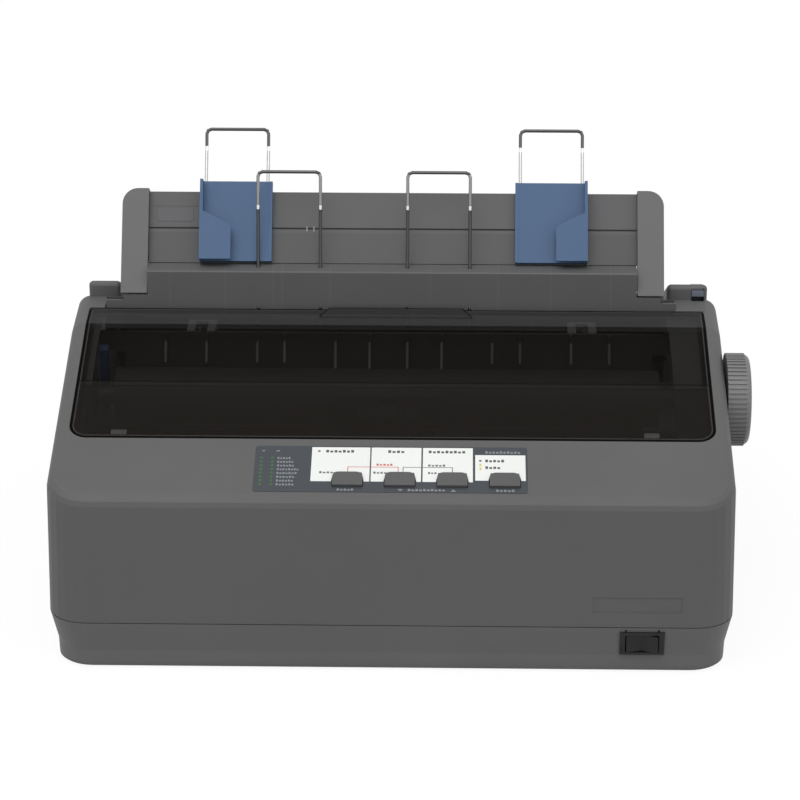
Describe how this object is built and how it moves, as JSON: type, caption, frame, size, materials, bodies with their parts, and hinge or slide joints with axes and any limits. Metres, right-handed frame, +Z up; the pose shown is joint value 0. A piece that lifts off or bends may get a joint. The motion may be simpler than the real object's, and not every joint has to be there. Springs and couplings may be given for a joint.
{
  "type": "dot_matrix_printer",
  "caption": "Desktop dot matrix printer with a smoked front cover, a folding sheet guide, sliding edge guides, a paper feed knob and a working carriage",
  "frame": {"origin": "on the floor, at the middle of the whole outline in plan", "axes": "+X to the right seen from the front, -Y towards the front, +Z up"},
  "size_m": [0.3632, 0.2786, 0.2284],
  "materials": {
    "case_plastic": "fine spark texture, moulded",
    "case_lower_plastic": "fine spark texture, moulded",
    "guide_plastic": "fine spark texture, moulded",
    "blue_plastic": "moulded, slight sheen",
    "dark_plastic": "moulded, slight sheen",
    "grey_plastic": "moulded",
    "natural_plastic": "moulded, unpainted",
    "smoked_plastic": "polished smoked acrylic",
    "overlay_film": "printed film",
    "lamp_plastic": "clear green",
    "black_plastic": "moulded black",
    "circuit_board": "solder resist",
    "zinc_steel": "zinc plated sheet",
    "ground_steel": "ground rod",
    "wire_chrome": "bright wire",
    "motor_steel": "plated can",
    "brass_gear": "machined",
    "platen_rubber": "ground rubber",
    "foot_rubber": "moulded rubber",
    "belt_rubber": "moulded rubber",
    "ribbon_fabric": "inked fabric"
  },
  "bodies": {
    "body": {"lower_case": "case_lower_plastic", "upper_case": "case_plastic", "rubber_feet": "foot_rubber", "frame_screws": "zinc_steel", "panel_overlay": "overlay_film", "led_lenses": "lamp_plastic", "control_board": "circuit_board", "switch_bezel": "black_plastic", "power_inlet": "black_plastic", "parallel_port": "zinc_steel", "usb_port": "zinc_steel", "main_board": "circuit_board", "power_supply": "circuit_board", "base_frame": "zinc_steel", "side_frame_left": "zinc_steel", "side_frame_right": "zinc_steel", "platen_bushes": "natural_plastic", "carriage_shaft": "ground_steel", "carriage_rail": "zinc_steel", "carriage_motor": "motor_steel", "timing_belt": "belt_rubber", "feed_motor": "motor_steel", "paper_chute": "dark_plastic", "eject_guide": "dark_plastic", "guide_base": "guide_plastic", "tractor_rod": "ground_steel"},
    "platen": {"platen_roller": "platen_rubber", "platen_shaft": "ground_steel", "platen_gear": "natural_plastic", "platen_knob": "guide_plastic"},
    "print_carriage": {"carriage": "dark_plastic", "print_head": "dark_plastic", "ribbon_cartridge": "dark_plastic", "ink_ribbon": "ribbon_fabric"},
    "button_1": {"button_1": "grey_plastic"},
    "button_2": {"button_2": "grey_plastic"},
    "button_3": {"button_3": "grey_plastic"},
    "button_4": {"button_4": "grey_plastic"},
    "switch_rocker": {"switch_rocker": "black_plastic"},
    "front_cover": {"front_cover": "smoked_plastic"},
    "sheet_guide": {"sheet_guide": "guide_plastic"},
    "edge_guide_left": {"edge_guide_left": "blue_plastic"},
    "edge_guide_right": {"edge_guide_right": "blue_plastic"},
    "rear_wire_left": {"rear_wire_left": "wire_chrome"},
    "rear_wire_right": {"rear_wire_right": "wire_chrome"},
    "front_wire_left": {"front_wire_left": "wire_chrome"},
    "front_wire_right": {"front_wire_right": "wire_chrome"},
    "idler_gear": {"idler_gear": "natural_plastic"},
    "motor_pinion": {"motor_pinion": "brass_gear"},
    "drive_pulley": {"drive_pulley": "natural_plastic"},
    "idler_pulley": {"idler_pulley": "natural_plastic"},
    "tractor_shaft": {"tractor_shaft": "ground_steel"},
    "tractor_left": {"tractor_left": "grey_plastic"},
    "tractor_right": {"tractor_right": "grey_plastic"},
    "sprocket_left": {"sprocket_left": "natural_plastic"},
    "sprocket_right": {"sprocket_right": "natural_plastic"},
    "tractor_lid_left": {"tractor_lid_left": "grey_plastic"},
    "tractor_lid_right": {"tractor_lid_right": "grey_plastic"},
    "release_lever": {"release_lever": "blue_plastic"},
    "thickness_lever": {"thickness_lever": "blue_plastic"}
  },
  "joints": [
    {"name": "press_button_1", "type": "slide", "parent": "body", "child": "button_1", "axis": [0, 0.3007, -0.9537], "range_m": [0, 0.001], "stiffness_N_per_m": 400, "springref_m": -0.0005},
    {"name": "press_button_2", "type": "slide", "parent": "body", "child": "button_2", "axis": [0, 0.3007, -0.9537], "range_m": [0, 0.001], "stiffness_N_per_m": 400, "springref_m": -0.0005},
    {"name": "press_button_3", "type": "slide", "parent": "body", "child": "button_3", "axis": [0, 0.3007, -0.9537], "range_m": [0, 0.001], "stiffness_N_per_m": 400, "springref_m": -0.0005},
    {"name": "press_button_4", "type": "slide", "parent": "body", "child": "button_4", "axis": [0, 0.3007, -0.9537], "range_m": [0, 0.001], "stiffness_N_per_m": 400, "springref_m": -0.0005},
    {"name": "rock_switch", "type": "hinge", "parent": "body", "child": "switch_rocker", "pos_m": [0.1216, -0.133, 0.0177], "axis": [0, 0, 1], "range_deg": [-10, 0]},
    {"name": "open_cover", "type": "hinge", "parent": "body", "child": "front_cover", "pos_m": [-0.0064, 0.01545, 0.13961], "axis": [-1, 0, 0], "range_deg": [0, 95]},
    {"name": "fold_guide", "type": "hinge", "parent": "body", "child": "sheet_guide", "pos_m": [-0.0064, 0.026, 0.14602], "axis": [1, 0, 0], "range_deg": [-86, 0]},
    {"name": "slide_edge_left", "type": "slide", "parent": "sheet_guide", "child": "edge_guide_left", "axis": [1, 0, 0], "range_m": [-0.026, 0.012]},
    {"name": "slide_rear_wire_left", "type": "slide", "parent": "edge_guide_left", "child": "rear_wire_left", "axis": [0, 0.5, 0.866], "range_m": [-0.017, 0]},
    {"name": "slide_edge_right", "type": "slide", "parent": "sheet_guide", "child": "edge_guide_right", "axis": [1, 0, 0], "range_m": [-0.042, 0.026]},
    {"name": "slide_rear_wire_right", "type": "slide", "parent": "edge_guide_right", "child": "rear_wire_right", "axis": [0, 0.5, 0.866], "range_m": [-0.017, 0]},
    {"name": "slide_front_wire_left", "type": "slide", "parent": "body", "child": "front_wire_left", "axis": [0, 0.2588, 0.9659], "range_m": [-0.024, 0]},
    {"name": "slide_front_wire_right", "type": "slide", "parent": "body", "child": "front_wire_right", "axis": [0, 0.2588, 0.9659], "range_m": [-0.024, 0]},
    {"name": "turn_platen", "type": "hinge", "parent": "body", "child": "platen", "pos_m": [-0.0064, -0.0225, 0.10602], "axis": [1, 0, 0], "continuous": true},
    {"name": "turn_idler", "type": "hinge", "parent": "body", "child": "idler_gear", "pos_m": [-0.1759, -0.00797, 0.08087], "axis": [1, 0, 0], "continuous": true},
    {"name": "turn_pinion", "type": "hinge", "parent": "body", "child": "motor_pinion", "pos_m": [-0.1759, 0.01109, 0.07467], "axis": [1, 0, 0], "continuous": true},
    {"name": "move_carriage", "type": "slide", "parent": "body", "child": "print_carriage", "axis": [1, 0, 0], "range_m": [-0.1, 0.1]},
    {"name": "turn_drive_pulley", "type": "hinge", "parent": "body", "child": "drive_pulley", "pos_m": [-0.1444, -0.08, 0.0626], "axis": [0, 0, 1], "continuous": true},
    {"name": "turn_idle_pulley", "type": "hinge", "parent": "body", "child": "idler_pulley", "pos_m": [0.1196, -0.08, 0.0626], "axis": [0, 0, 1], "continuous": true},
    {"name": "turn_tractor_shaft", "type": "hinge", "parent": "body", "child": "tractor_shaft", "pos_m": [-0.0064, 0.088, 0.088], "axis": [1, 0, 0], "continuous": true},
    {"name": "slide_tractor_left", "type": "slide", "parent": "body", "child": "tractor_left", "axis": [1, 0, 0], "range_m": [-0.016, 0.04]},
    {"name": "turn_sprocket_left", "type": "hinge", "parent": "tractor_left", "child": "sprocket_left", "pos_m": [-0.1184, 0.088, 0.088], "axis": [1, 0, 0], "continuous": true},
    {"name": "open_lid_left", "type": "hinge", "parent": "tractor_left", "child": "tractor_lid_left", "pos_m": [-0.1184, 0.06, 0.1026], "axis": [1, 0, 0], "range_deg": [0, 90]},
    {"name": "slide_tractor_right", "type": "slide", "parent": "body", "child": "tractor_right", "axis": [1, 0, 0], "range_m": [-0.04, 0.018]},
    {"name": "turn_sprocket_right", "type": "hinge", "parent": "tractor_right", "child": "sprocket_right", "pos_m": [0.0976, 0.088, 0.088], "axis": [1, 0, 0], "continuous": true},
    {"name": "open_lid_right", "type": "hinge", "parent": "tractor_right", "child": "tractor_lid_right", "pos_m": [0.0976, 0.06, 0.1026], "axis": [1, 0, 0], "range_deg": [0, 90]},
    {"name": "release_paper", "type": "hinge", "parent": "body", "child": "release_lever", "pos_m": [0.15735, 0.04029, 0.11063], "axis": [1, 0, 0], "range_deg": [0, 8]},
    {"name": "set_thickness", "type": "hinge", "parent": "body", "child": "thickness_lever", "pos_m": [-0.1624, -0.008, 0.09602], "axis": [1, 0, 0], "range_deg": [-12, 12]}
  ],
  "couplings": [
    {"joint": "turn_idler", "follows": "turn_platen", "ratio": -1.4167},
    {"joint": "turn_pinion", "follows": "turn_platen", "ratio": 2.125},
    {"joint": "turn_drive_pulley", "follows": "move_carriage", "rad_per_m": -125},
    {"joint": "turn_idle_pulley", "follows": "move_carriage", "rad_per_m": -125},
    {"joint": "turn_sprocket_left", "follows": "turn_tractor_shaft", "ratio": 1},
    {"joint": "turn_sprocket_right", "follows": "turn_tractor_shaft", "ratio": 1}
  ]
}
